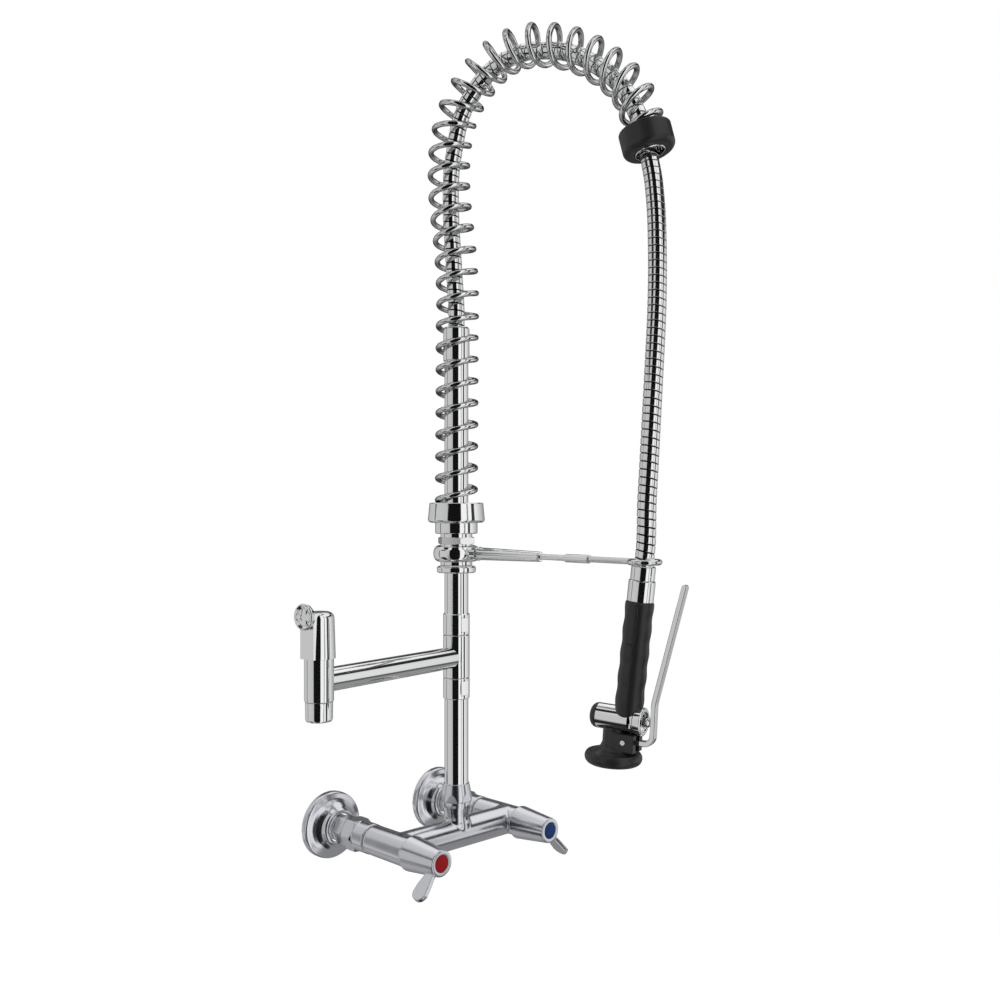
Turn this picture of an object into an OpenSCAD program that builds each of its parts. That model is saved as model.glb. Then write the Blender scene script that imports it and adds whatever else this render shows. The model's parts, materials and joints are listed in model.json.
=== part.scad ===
// Wall-mounted pre-rinse faucet: a two-handle mixer, a riser with a swinging pot filler,
// an overhead spring with a ribbed hose, a hook arm and a trigger spray gun.
// Frame: the wall is the plane Y = 0, the faucet stands out towards -Y and +Z is up.
// The origin lies on the wall, midway between the two inlets. Millimetres.

/* [Inlets and wall flanges] */
// Distance between the hot and cold inlets
inlet_spacing = 150; // [140:1:160]
// Radius of the inlet threads that screw into the wall fittings
inlet_thread_r = 10.48; // [10.4:0.02:10.5]
// Length of the inlet threads behind the wall face
inlet_thread_length = 15; // [10:1:18]
// Radius of the wall flanges
flange_r = 34.9; // [34:0.1:37]

/* [Mixer and handles] */
// Distance from the wall to the cross bar and the riser
bar_offset = 120; // [118:0.5:121]
// Radius of the two valve barrels
barrel_r = 15; // [15:0.1:16]
// Radius of the cross bar between the barrels
bar_r = 15.3; // [15:0.1:16]
// Distance from the wall to the handles' front faces
handle_front = 183; // [182.5:0.5:184]
// Length of the handle levers, from the valve axis to the tip
lever_reach = 40.3; // [38:0.1:44]
// Angle of the handle levers from straight down, outwards
lever_angle = 42; // [0:1:60]

/* [Riser and pot filler] */
// Outer radius of the riser tubes
tube_r = 12.4; // [12.3:0.05:12.45]
// Wall thickness of the riser tubes
tube_wall = 2; // [1.5:0.1:2.1]
// Height of the pot filler's arm above the inlets
arm_height = 182.5; // [181:0.2:185]
// Turn of the pot filler's arm from straight left, towards the front
arm_yaw = 8.4; // [0:0.2:20]
// Distance from the riser to the pot filler's spout
arm_reach = 193; // [180:1:210]
// Radius of the pot filler's arm
arm_r = 11; // [10.6:0.1:11.2]

/* [Hook and spring] */
// Height of the hook arm
hook_height = 290.6; // [290:0.2:291]
// Distance from the riser to the centre of the hook's ring
hook_reach = 246.3; // [246:0.1:246.6]
// Outer radius of the overhead spring at its foot
spring_r = 22.2; // [22:0.1:22.4]
// Outer radius of the overhead spring at its bumper
spring_tip_r = 20; // [19.6:0.1:20.4]
// Wire radius of the overhead spring
wire_r = 2.6; // [2.4:0.05:2.7]
// Number of curls of the overhead spring
spring_curls = 30.55; // [28:0.05:32]
// Outer radius of the hose
hose_r = 8.5; // [8:0.1:8.6]
// Number of ribs along the hose
hose_ribs = 130; // [120:1:150]

/* [Spray gun] */
// Distance from the riser to the top of the gun
gun_reach = 245.4; // [245.2:0.1:245.6]
// Height of the top of the gun
gun_height = 287.4; // [287.2:0.1:287.6]
// Lean of the gun's handle, its foot towards the wall
gun_tilt = 6.4; // [6:0.1:7]
// Turn of the gun about the upright
gun_yaw = 16; // [0:1:30]
// Angle between the handle and the spray head
head_rake = 3.4; // [3:0.1:4]
// Radius of the rubber grip
grip_r = 12.45; // [12.3:0.05:12.8]

/* [Hidden] */

$fn = 64;
far = 400;                       // longer than any cut needs
play = 0.05;                     // radial play between fitted pieces
valve_x = inlet_spacing / 2;
tube_bore_r = tube_r - tube_wall;
socket_r = tube_r + play;        // sockets that take a riser tube

// colours
chrome = [0.80, 0.81, 0.82];
satin_chrome = [0.66, 0.67, 0.70];
steel = [0.72, 0.73, 0.74];
brass = [0.72, 0.58, 0.30];
rubber = [0.10, 0.10, 0.10];
black_plastic = [0.13, 0.13, 0.13];
ceramic = [0.92, 0.91, 0.88];
nylon = [0.88, 0.88, 0.84];
red = [0.55, 0.08, 0.10];
blue = [0.10, 0.20, 0.40];

// distances from the wall along each valve
hex_start = 24.3;
nut_start = 42.6;
nut_hex_end = 60;
connector_end = 60;
tail_start = 62.2;
tail_rim = 66.3;
barrel_start = 78;
seat_depth = 106;
disc_top = 112;
barrel_end = 138;
guide_end = 152;
drive_end = 167.2;

// heights along the riser
column_top = 34;
socket_foot = 24;
riser_foot = 26.1;
lower_collar_foot = 140;
core_foot = 150;
tee_foot = 162;
tee_top = 205.5;
core_top = 216;
upper_collar_top = 227.8;
stop_nut_foot = 269.9;
stop_nut_top = 276.6;
sleeve_foot = 277.8;
sleeve_top = 330;
spring_seat = 333;
collar_top = 342.2;
hose_nut_foot = 488.5;
upper_tube_top = 505;
hose_foot = 508;
hose_nut_top = 524;

// ---------- helpers ----------

// points of an arc about (x, y)
function arc(x, y, r, a0, a1, n = 6) = [for (i = [0:n])
  let (a = a0 + (a1 - a0) * i / n) [x + r * cos(a), y + r * sin(a)]];

// circumscribed radius of a hexagon from its width across the flats
function hex_r(flats) = flats / 2 / cos(30);

function unit(v) = v / norm(v);

module turned(points) rotate_extrude() polygon(points);

module rod(r, z0, z1) translate([0, 0, z0]) cylinder(r = r, h = z1 - z0);

module pipe(r, bore, z0, z1) difference() {
  rod(r, z0, z1);
  rod(bore, z0 - 1, z1 + 1);
}

module hex_bar(flats, z0, z1) translate([0, 0, z0]) cylinder(r = hex_r(flats), h = z1 - z0, $fn = 6);

// hexagon with its corners turned down by a chamfer at both ends
module hex_nut(flats, z0, z1, chamfer) intersection() {
  hex_bar(flats, z0, z1);
  turned([[0, z0], [flats / 2, z0], [hex_r(flats), z0 + chamfer], [hex_r(flats), z1 - chamfer],
          [flats / 2, z1], [0, z1]]);
}

// local +Z points away from the wall
module on_valve(side) translate([side * valve_x, 0, 0]) rotate([90, 0, 0]) children();

module on_both_valves() for (side = [-1, 1]) on_valve(side) children();

module on_riser() translate([0, -bar_offset, 0]) children();

// local +X points along the pot filler's arm, away from the riser
module on_arm() translate([0, -bar_offset, arm_height]) rotate([0, 0, 180 + arm_yaw]) children();

module on_spout() on_arm() translate([arm_reach, 0, 0]) children();

// local +Z points along the hook arm, away from the riser
module on_hook() translate([0, -bar_offset, hook_height]) rotate([90, 0, 0]) children();

// local +Z runs up the gun's handle, and -Y points to the lever
gun_top = [0, -bar_offset - gun_reach, gun_height];
gun_up = [sin(gun_yaw) * sin(gun_tilt), -cos(gun_yaw) * sin(gun_tilt), cos(gun_tilt)];
module on_gun() translate(gun_top) rotate([0, 0, gun_yaw]) rotate([gun_tilt, 0, 0]) children();

// the spray head, from the point where the handle's axis meets the valve's
head_drop = 137.1;
module on_head() on_gun() translate([0, 0, -head_drop]) rotate([-head_rake, 0, 0]) children();

// local +Z points out along the gun's valve, to the lever
module on_gun_valve() on_head() rotate([90, 0, 0]) children();

// ---------- wall flanges and inlets ----------

// Thin pressed bell that hides the hole in the wall. Its mouth slides on the inlet's neck.
module wall_flanges() color(satin_chrome) on_both_valves() turned([
  [flange_r - 3.9, 0], [flange_r, 0], [flange_r, 7], [flange_r - 0.4, 8], [flange_r - 1.3, 8.6],
  [28.5, 10.4], [24.2, 13.2], [21, 16.8], [19.2, 20.4], [18.2, 21.6], [16.9, 22], [14.6, 22],
  [14.6, 20], [16.8, 19], [18.6, 15.4], [22.4, 11.2], [27.4, 8], [flange_r - 3.9, 6.4]]);

module inlet_connectors() color(satin_chrome) on_both_valves() difference() {
  neck_r = 13.5;
  union() {
    rod(inlet_thread_r, -inlet_thread_length, 1);
    rod(neck_r, 0, hex_start + 1);
    hex_nut(27, hex_start, nut_start - 0.6, 2);
    rod(12.2, nut_start - 1, connector_end);
  }
  rod(6.5, -inlet_thread_length - 1, connector_end + 1);
}

module sealing_washers() color(rubber) {
  on_both_valves() pipe(12, 7, connector_end + play, tail_start - play);
  on_riser() pipe(12.5, 9.6, socket_foot + play, riser_foot - play);
}

// one-way valve in each inlet: a sleeve with a seat, and the poppet that closes on it
module check_valves() color(nylon) on_both_valves() {
  turned([[4.2, 64], [7.45, 64], [7.45, 80], [6, 80], [6, 68.4], [4.2, 66.6]]);
  turned([[0, 64.6], [3.4, 64.6], [5.6, 69.6], [1.4, 70.6], [1.4, 79], [0, 79]]);
}

module union_nuts() color(satin_chrome) on_both_valves() difference() {
  end_r = 15.4;
  nut_end = barrel_start - 0.4;
  union() {
    hex_nut(31, nut_start, nut_hex_end, 2.4);
    turned([[0, nut_hex_end - 1], [end_r, nut_hex_end - 1], [end_r, nut_end - 0.8],
            [end_r - 0.8, nut_end], [0, nut_end]]);
  }
  rod(12.3, nut_start - 1, tail_rim + 0.3);
  rod(10.5, tail_rim, nut_end + 1);
}

// ---------- mixer ----------

module mixer_body() color(satin_chrome) difference() {
  union() {
    on_both_valves() {
      rod(12.2, tail_start, tail_rim);
      rod(10.3, tail_start, barrel_start + 1);
      turned([[0, barrel_start], [barrel_r - 0.8, barrel_start], [barrel_r, barrel_start + 0.8],
              [barrel_r, barrel_end], [0, barrel_end]]);
    }
    on_riser() rotate([0, 90, 0]) rod(bar_r, -valve_x, valve_x);
    // outlet column with the threaded nipple for the riser nut
    on_riser() turned([[0, 0], [14.4, 0], [14.4, 12], [12.9, 15], [12.8, 18], [13.4, 23], [14.9, 29.5],
                       [14.9, column_top], [14, column_top], [14, 42], [0, 42]]);
  }
  on_both_valves() {
    rod(7.5, tail_start - 1, 84);
    rod(5, 83, seat_depth + 1);
    rod(11.6, seat_depth, barrel_end + 1);
  }
  on_riser() rotate([0, 90, 0]) rod(8, -valve_x + 9, valve_x - 9);
  on_riser() rod(9.5, 0, socket_foot + 1);
  on_riser() rod(12.6, socket_foot, column_top + 10);
}

module cartridge_bodies() color(brass) on_both_valves() difference() {
  union() {
    rod(11.5, seat_depth + 0.3, barrel_end);
    rod(9, barrel_end - 1, guide_end);
  }
  rod(9, seat_depth - 1, disc_top);
  rod(7.5, disc_top - 1, 127);
  rod(5 + play, 126, guide_end + 1);
  translate([0, 0, bar_offset]) rotate([0, 90, 0]) rod(5, -12, 12);
}

disc_port = 4;
module fixed_discs() color(ceramic) on_both_valves() difference() {
  rod(8.95, seat_depth + 0.6, 109.4);
  translate([disc_port, 0, 0]) rod(2.2, seat_depth, 110);
}

// ---------- handles, the same for hot and cold ----------

module handle(side) color(satin_chrome) on_valve(side) difference() {
  hub_back = barrel_end + 0.6;
  back_r = 17.25;
  front_r = 12.85;
  fin = 5;
  tip_r = 8.9;
  union() {
    turned(concat([[0, hub_back], [back_r - 0.8, hub_back], [back_r, hub_back + 0.8]],
      arc(front_r - 1.2, handle_front - 1.2, 1.2, 5, 90, 4), [[0, handle_front]]));
    rotate([90, 0, side > 0 ? lever_angle - 90 : -90 - lever_angle])
      linear_extrude(fin, center = true) polygon(concat(
        [[9, handle_front - 9], [9, handle_front - 1.5], [15, handle_front - 0.7], [24, handle_front + 1.3]],
        arc(lever_reach - tip_r, handle_front - 5.9, tip_r, 76, -80, 9),
        [[25, handle_front - 14.2], [19, handle_front - 12.8], [13, handle_front - 11]]));
  }
  rod(13.8, hub_back - 1, 154);
  rod(4 + play, 153, drive_end);
  rod(2.1, drive_end - 1, 170);
  rod(5.5, 169.5, 180);
  rod(8.2, handle_front - 3.5, handle_front + 1);
}

// the moving disc turns with the spindle that the handle drives
module spindle(side) color(brass) on_valve(side) difference() {
  union() {
    rod(8.8, 109.7, disc_top - 0.3);
    rod(5, disc_top - 1, guide_end + 1);
    rod(4, guide_end, drive_end - 0.2);
  }
  translate([disc_port, 0, 0]) rod(2.2, 109, disc_top - 0.31);
  rod(2.05, 156, drive_end + 1);
}

module handle_screw(side) color(steel) on_valve(side) difference() {
  union() {
    rod(4.5, 169.6, 172.6);
    rod(2, 157, 170);
  }
  hex_bar(3, 170.6, 173);
}

module index_button(side, tint) color(tint) on_valve(side)
  turned([[0, handle_front - 3.2], [8.05, handle_front - 3.2], [8.05, handle_front - 0.3],
          [7.4, handle_front + 0.1], [4, handle_front + 0.35], [0, handle_front + 0.4]]);

module hot_handle() handle(-1);
module hot_spindle() spindle(-1);
module hot_screw() handle_screw(-1);
module hot_index() index_button(-1, red);
module cold_handle() handle(1);
module cold_spindle() spindle(1);
module cold_screw() handle_screw(1);
module cold_index() index_button(1, blue);

// ---------- riser ----------

module riser_nut() color(satin_chrome) on_riser() difference() {
  foot = column_top + 0.1;
  top = 52.8;
  intersection() {
    hex_bar(30.6, foot, top);
    turned([[0, foot], [15.8, foot], [16.6, foot + 1.5], [15.7, foot + 7], [13.4, top - 0.6],
            [13, top], [0, top]]);
  }
  rod(14.05, foot - 1, 44);
  rod(socket_r, 43, top + 1);
}

module riser_tube() color(chrome) on_riser() pipe(tube_r, tube_bore_r, riser_foot, core_foot - 0.2);

// Each collar takes a riser tube in its socket and clamps one end of the swivel core.
collar_r = 13.75;
core_r = 10.2;
module collar(foot, top, tube_z0, tube_z1, flat_foot) difference() {
  flat_depth = 13;
  turned([[0, foot], [collar_r - 0.8, foot], [collar_r, foot + 0.8], [collar_r, top - 0.8],
          [collar_r - 0.8, top], [0, top]]);
  rod(core_r + play, foot - 1, top + 1);
  rod(socket_r, tube_z0, tube_z1);
  for (turn = [0, 180]) rotate([0, 0, turn]) translate([-8, flat_depth, flat_foot]) cube([16, 5, 14]);
}

module swivel_collars() color(chrome) on_riser() {
  collar(lower_collar_foot, tee_foot - 0.4, lower_collar_foot - 1, core_foot, 144.5);
  collar(tee_top + 0.4, upper_collar_top, core_top, upper_collar_top + 1, 209.5);
}

seal_heights = [166, 199.6];
module swivel_core() color(brass) on_riser() difference() {
  pipe(core_r, 7.5, core_foot + 0.2, core_top - 0.2);
  // water gallery, with its cross holes, and the seals' grooves
  pipe(far, 8.7, 176, 189);
  for (turn = [0, 90]) translate([0, 0, arm_height]) rotate([90, 0, turn]) rod(5, -12, 12);
  for (z = seal_heights) pipe(far, 8.3, z - 1.1, z + 1.1);
}

module core_orings() color(rubber) on_riser() for (z = seal_heights)
  translate([0, 0, z]) rotate_extrude() translate([9.25, 0]) circle(r = 0.9, $fn = 24);

module upper_tube() color(chrome) on_riser() pipe(tube_r, tube_bore_r, core_top + 0.2, upper_tube_top);

// round nut that carries the swinging sleeve
module stop_nut() color(chrome) on_riser() difference() {
  r = 20.2;
  turned([[0, stop_nut_foot], [r - 1.2, stop_nut_foot], [r, stop_nut_foot + 1.2],
          [r, stop_nut_top - 1.2], [r - 1.2, stop_nut_top], [0, stop_nut_top]]);
  rod(socket_r, stop_nut_foot - 1, stop_nut_top + 1);
}

module thrust_washer() color(nylon) on_riser() pipe(17, socket_r, stop_nut_top + play, 277.4);

// ---------- pot filler ----------

module swivel_tee() color(chrome) on_arm() difference() {
  low = tee_foot - arm_height;
  high = tee_top - arm_height;
  turned([[0, low], [collar_r - 0.4, low], [collar_r, low + 0.4], [collar_r, high - 0.4],
          [collar_r - 0.4, high], [0, high]]);
  rod(core_r + play, low - 1, high + 1);
  rotate([0, 90, 0]) rod(arm_r - 2, 0, 20);
}

spout_r = 13.3;
module arm_tube() color(chrome) on_arm() difference() {
  rotate([0, 90, 0]) rod(arm_r, 4, arm_reach);
  rotate([0, 90, 0]) rod(arm_r - 2, 0, arm_reach + 10);
  rod(collar_r + play, -20, 20);
  translate([arm_reach, 0, 0]) rod(spout_r + play, -20, 20);
}

// heights from the arm's axis
spout_foot = -18;
hood_foot = 20.8;
hood_top = 62.5;
knob_axis = 58.9;

module spout_body() color(chrome) on_spout() difference() {
  top = hood_foot - 0.3;
  turned([[0, spout_foot], [spout_r - 0.8, spout_foot], [spout_r, spout_foot + 0.8],
          [spout_r, top], [0, top]]);
  rod(9.5, spout_foot - 1, 12);
  rod(6, 11, top + 1);
  rotate([0, -90, 0]) rod(arm_r - 2, 0, 20);
}

hood_boss = 14.8;
module spout_hood() color(chrome) on_spout() difference() {
  foot_r = 14.9;
  top_r = 13.7;
  crown = 6;
  union() {
    turned(concat([[0, hood_foot], [foot_r, hood_foot]],
      arc(top_r - crown, hood_top - crown, crown, 5, 90, 6), [[0, hood_top]]));
    // flat boss that carries the knob
    translate([0, -8.5, hood_foot]) cube([hood_boss, 17, 41.4]);
  }
  rod(11.2, hood_foot - 1, 52);
  rod(9.8, 51, 60.5);
  translate([0, 0, knob_axis]) rotate([0, 90, 0]) rod(2.5 + play, -3.3, 20);
}

// spring-loaded plug valve in the spout
module spout_valve() color(brass) on_spout() difference() {
  union() {
    rod(9.4, 12.2, hood_foot - 0.5);
    rod(5.9, 11, 22);
    rod(11.1, hood_foot + 0.1, 44);
    rod(4, 43, knob_axis - 8.4);
  }
  pipe(30, 5.9, 11, hood_foot);
  rod(3, 10, 40);
}

module spout_knob() color(chrome) on_spout() translate([0, 0, knob_axis]) rotate([0, 90, 0]) {
  r = 12;
  back = 15.1;
  difference() {
    turned(concat([[0, back], [r - 1, back]], arc(r - 1.6, back + 3.2, 1.6, -60, 90, 6),
      [[r - 3, back + 4.2], [r - 4.4, back + 3.4], [3.5, back + 4.6], [0, back + 4.9]]));
    rod(2.5 + play, back - 1, back + 3);
  }
  // three raised lobes on the face
  for (turn = [30:120:270]) rotate([0, 0, turn]) translate([5.2, 0, 0])
    rod(2.4, back + 3, back + 5.3);
}

// spindle with the finger that holds the valve shut
module knob_spindle() color(steel) on_spout() translate([0, 0, knob_axis]) {
  rotate([0, 90, 0]) rod(2.5, -3, 18);
  translate([-3, -1.5, -8]) cube([6, 3, 8]);
}

module aerator_housing() color(chrome) on_spout() difference() {
  foot = -35.8;
  turned([[0, foot], [11.3, foot], [12.3, foot + 2], [12.5, -18.2], [9.4, -18.2], [9.4, -9], [0, -9]]);
  rod(8, foot - 1, -8);
}

module aerator_insert() color(nylon) on_spout() difference() {
  rod(7.9, -34.9, -22);
  for (ring = [[3, 0], [5.6, 30]]) for (turn = [0:60:300]) rotate([0, 0, turn + ring[1]])
    translate([ring[0], 0, 0]) rod(0.8, -36, -21);
}

// ---------- hook arm ----------

sleeve_r = 16.5;
module swivel_sleeve() color(chrome) on_riser() pipe(sleeve_r, 14.05, sleeve_foot, sleeve_top);

module sleeve_bushes() color(nylon) on_riser() for (z = [278, 317.6]) pipe(14, socket_r, z, z + 12);

module hook_boss() color(chrome) difference() {
  union() {
    on_riser() turned([[0, 281.5], [19.6, 281.5], [21.8, 283], [23.4, 285.8], [24, 289.8],
      [23.4, 293.8], [21.6, 296.8], [19.2, 298.2], [0, 298.2]]);
    on_hook() turned([[0, 17], [7.3, 17], [7.3, 34], [6.6, 35], [0, 35]]);
  }
  on_riser() rod(sleeve_r + play, 280, 300);
  on_hook() rod(3 + play, 20, 50);
}

module boss_nut() color(chrome) on_riser() difference() {
  hex_nut(34.6, 299.4, 306.7, 1);
  rod(sleeve_r + play, 298, 308);
}

hook_rod_r = 2.75;
hook_joint = 167.8;
module hook_stem() color(chrome) on_hook() {
  rod(3, 21, 36);
  turned([[0, 35.2], [5.6, 35.2], [6.4, 36.4], [6.3, 44], [5, 119.6], [4.4, 121], [0, 121]]);
  rod(hook_rod_r, 120, hook_joint - 0.1);
}

module hook_coupling() color(chrome) on_hook() difference() {
  foot = 153;
  end = 183;
  turned([[0, foot], [3.4, foot], [3.95, foot + 0.8], [3.95, end - 0.8], [3.4, end], [0, end]]);
  rod(hook_rod_r + play, foot - 1, end + 1);
}

module hook_ring() color(steel) {
  ring_r = 12.85;
  on_hook() rod(hook_rod_r, hook_joint + 0.1, hook_reach - ring_r);
  translate([0, -bar_offset - hook_reach, hook_height]) rotate_extrude()
    translate([ring_r, 0]) circle(r = 2.65, $fn = 32);
}

// ---------- the way of the spring and the hose ----------

// Each is a list of [offset to the right, distance from the riser, height]. The spring stands
// on its collar and arches over to the bumper, a little to the right of the hook arm. The hose
// lies in it, against its inner side along the arch, and goes on to the gun through the ring.
function from_riser(list) = [for (p = list) [p[0], -bar_offset - p[1], p[2]]];

arch_turn = 12;
arch_side = [cos(arch_turn), sin(arch_turn), 0];
bumper_tilt = 15.1;
bumper_axis = [sin(arch_turn) * sin(bumper_tilt), -cos(arch_turn) * sin(bumper_tilt), -cos(bumper_tilt)];
bumper_middle = [45.4, -bar_offset - 213.6, 677.3];
bumper_floor = -2;               // the spring's seat, from the bumper's middle

end_height = 9.4;                // from a seat to the first curl

spring_points = concat(from_riser([
    [0, 0, spring_seat + end_height], [0, 0.1, 360], [0, 0.3, 378], [0, 0.6, 412], [0, 1, 446],
    [0, 1.1, 479], [0, 1.1, 505], [0, 1.3, 526], [0, 2, 547], [0.1, 0.3, 581.1], [-0.6, -2.9, 615.3],
    [-1.6, -7.4, 649], [-2, -9.4, 682.1], [-1.5, -7, 715.3], [0.7, 3.3, 746.9], [5.1, 23.9, 772.2],
    [10.5, 49.4, 789.6], [17, 79.9, 795.8], [24.4, 114.8, 789], [31.3, 147.2, 774.1],
    [37.1, 174.4, 753.5], [39.7, 186.7, 740.6], [41.9, 197.1, 726.9], [43, 202.5, 716.9],
    [43.9, 206.3, 706.7], [44.5, 209.2, 696.4]]),
  [bumper_middle - (end_height + bumper_floor) * bumper_axis]);
hose_points = concat(from_riser([
    [0, 0, hose_foot], [0, 0, 524], [0, 0, 541], [0, -1, 556], [-0.5, -2.5, 577], [-1, -4, 601],
    [-1.5, -6, 628], [-1.5, -7, 652.5], [-1.5, -7, 669.5], [-1.5, -6, 685.5], [-1, -4, 699],
    [0, -0.5, 717.5], [0.5, 3.5, 732], [1.5, 8, 743.5], [3, 15, 755], [6, 27.5, 769],
    [9, 43.5, 780.5], [13, 61, 787.5], [17.5, 82, 790], [22, 103, 787], [26.5, 123.5, 781.5],
    [30, 140.5, 773.5], [33.5, 157.5, 762.5], [37, 173, 749.5], [40, 187.5, 733.5],
    [42.5, 198, 716], [44, 206, 698], [45, 211.5, 679.5], [44.5, 218, 655.5], [43, 222.5, 639.5],
    [41, 226, 623.5], [38.5, 229.5, 605.5], [35, 233, 583.5], [31, 236.5, 553], [25.5, 240, 516.5],
    [21, 242, 488], [15.5, 244, 452], [10.5, 245.5, 416], [5, 247, 373], [1.5, 247.5, 340],
    [0.5, 248, 320]]),
  [for (h = [17, 8, -2, -10]) gun_top + h * gun_up]);

// Catmull-Rom curve through a list of points
way_steps = 6;
function between(p, i, t) = let (
    a = p[max(i - 1, 0)], b = p[i], c = p[i + 1], d = p[min(i + 2, len(p) - 1)])
  0.5 * (2 * b + (c - a) * t + (2 * a - 5 * b + 4 * c - d) * t * t + (3 * b - a - 3 * c + d) * t * t * t);
function curve(p) = concat(
  [for (i = [0:len(p) - 2]) for (k = [0:way_steps - 1]) between(p, i, k / way_steps)], [p[len(p) - 1]]);

// A way is a curve's length, and a table of each coordinate by the length to it.
function sums(v, i = 0, total = 0, list = []) = i == len(v) ? list
  : let (t = total + (i > 0 ? norm(v[i] - v[i - 1]) : 0)) sums(v, i + 1, t, concat(list, [t]));
function way(points) = let (c = curve(points), lengths = sums(c))
  concat([lengths[len(c) - 1]], [for (axis = [0:2]) [[for (i = [0:len(c) - 1]) [lengths[i], c[i][axis]]]]]);
spring_way = way(spring_points);
hose_way = way(hose_points);

// point, direction and in-plane normal at a length along a way
function way_point(w, s) = [lookup(s, w[1][0]), lookup(s, w[2][0]), lookup(s, w[3][0])];
function way_dir(w, s) = unit(way_point(w, min(s + 3, w[0])) - way_point(w, max(s - 3, 0)));
function way_normal(w, s) = unit(cross(way_dir(w, s), arch_side));

// a ring of points about a centre, square to t, the first of them towards n
function ring_points(centre, t, n, r, sides) = let (b = unit(cross(t, n)), m = cross(b, t))
  [for (j = [0:sides - 1]) let (a = 360 * j / sides) centre + r * (cos(a) * m + sin(a) * b)];

// triangles of the wall through a number of rings of n points
function wall_faces(rings, n, base = 0, inward = false) = [for (i = [0:rings - 2]) for (j = [0:n - 1]) let (
    k = (j + 1) % n, a = base + i * n + j, b = base + (i + 1) * n + j, c = base + (i + 1) * n + k,
    d = base + i * n + k)
  each inward ? [[a, c, b], [a, d, c]] : [[a, b, c], [a, c, d]]];

// closed tube through its outside rings and its inside rings, of n points each
module tube_of_rings(outside, inside, n) {
  base = len(outside) * n;
  top = base - n;
  bore_top = base + (len(inside) - 1) * n;
  polyhedron(
    points = concat([for (ring = outside) each ring], [for (ring = inside) each ring]),
    faces = concat(
      wall_faces(len(outside), n),
      wall_faces(len(inside), n, base, true),
      [for (j = [0:n - 1]) let (k = (j + 1) % n) each [[j, k, base + k], [j, base + k, base + j]]],
      [for (j = [0:n - 1]) let (k = (j + 1) % n)
        each [[top + j, bore_top + k, top + k], [top + j, bore_top + j, bore_top + k]]]),
    convexity = 20);
}

// ---------- spring collar, spring and bumper ----------

module spring_collar() color(chrome) on_riser() turned(concat(
  [[sleeve_r + play, 310.2], [21, 310.2], [22, 311.2], [22, 321.4], [26.6, 321.6]],
  arc(26.2, 325, 3.3, -65, 0, 4),
  [[27.9, collar_top - 0.8], [27.1, collar_top], [22.6, collar_top], [22.6, spring_seat],
   [12.8, spring_seat], [12.8, sleeve_top + 0.2], [sleeve_r + play, sleeve_top + 0.2]]));

// coil's outer radius by the share of its length
coil_r = [[0, spring_r], [0.65, spring_r - 0.2], [0.9, spring_tip_r + 0.1], [1, spring_tip_r]];

// The spring is stored as a plain sleeve of the coil's outer size, with the wire's metal in its wall.
sleeve_sides = 12;
sleeve_runs = 50;
sleeve_wall = PI * wire_r * wire_r * spring_curls / spring_way[0];

// centre, direction and outer radius of the sleeve's rings
up = [0, 0, 1];
sleeve_rings = concat(
  [[way_point(spring_way, 0) - end_height * up, up, spring_r]],
  [for (i = [0:sleeve_runs]) let (s = spring_way[0] * i / sleeve_runs)
    [way_point(spring_way, s), way_dir(spring_way, s), lookup(i / sleeve_runs, coil_r)]],
  [[bumper_middle - bumper_floor * bumper_axis, bumper_axis, spring_tip_r]]);
function sleeve_side(inset) = [for (g = sleeve_rings)
  ring_points(g[0], g[1], cross(g[1], arch_side), g[2] - inset, sleeve_sides)];

module overhead_spring() color(steel) tube_of_rings(sleeve_side(0), sleeve_side(sleeve_wall), sleeve_sides);

// local +Z runs back up the spring
module on_bumper() translate(bumper_middle) rotate([0, 0, arch_turn]) rotate([-bumper_tilt, 0, 0]) children();

module spring_bumper() color(rubber) on_bumper() {
  r = 24.8;
  half = 12;
  corner = 6;
  turned(concat([[14.6, -half + 2]], arc(16.6, -half + 2, 2, 180, 270, 3),
    arc(r - corner, -half + corner, corner, -80, 0, 6), arc(r - 1.6, half - 1.6, 1.6, 0, 80, 4),
    [[spring_tip_r + 1.8, half], [spring_tip_r + 1.8, bumper_floor], [14.6, bumper_floor]]));
}

module bumper_bush() color(chrome) on_bumper()
  turned([[13.4, -12.4], [13.9, -12.4], [14.6, -11.7], [14.6, bumper_floor], [13.4, bumper_floor]]);

// ---------- hose ----------

hose_length = hose_way[0];
hose_pitch = hose_length / hose_ribs;
hose_sides = 8;
hose_bore_r = 5.5;
groove = 0.85;                   // depth of the groove between ribs
groove_at = 0.78;                // its place along each rib
bore_runs = 64;

function hose_ring(s, r) = ring_points(way_point(hose_way, s), way_dir(hose_way, s), [1, 0, 0], r, hose_sides);

// two rings a rib: its crest, then the groove before the next one
hose_outside = concat(
  [for (i = [0:hose_ribs - 1]) for (k = [0, 1])
    hose_ring(hose_pitch * (i + groove_at * k), hose_r - groove * k)],
  [hose_ring(hose_length, hose_r)]);
hose_inside = [for (i = [0:bore_runs]) hose_ring(hose_length * i / bore_runs, hose_bore_r)];

echo(str("hose: length ", hose_length, " mm, rib pitch ", hose_pitch, " mm"));

module hose() color(steel) tube_of_rings(hose_outside, hose_inside, hose_sides);

// swivelling nut that joins the hose to the top of the riser
module hose_nut() color(chrome) on_riser() difference() {
  r = 13.6;
  turned(concat([[0, hose_nut_foot], [r - 0.8, hose_nut_foot], [r, hose_nut_foot + 0.8]],
    arc(r - 3, hose_nut_top - 3, 3, 0, 80, 5), [[0, hose_nut_top]]));
  rod(socket_r, hose_nut_foot - 1, hose_foot - 2);
  rod(hose_bore_r, hose_foot - 3, hose_foot + 1);
  rod(hose_r + 0.3, hose_foot, hose_nut_top + 1);
}

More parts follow.
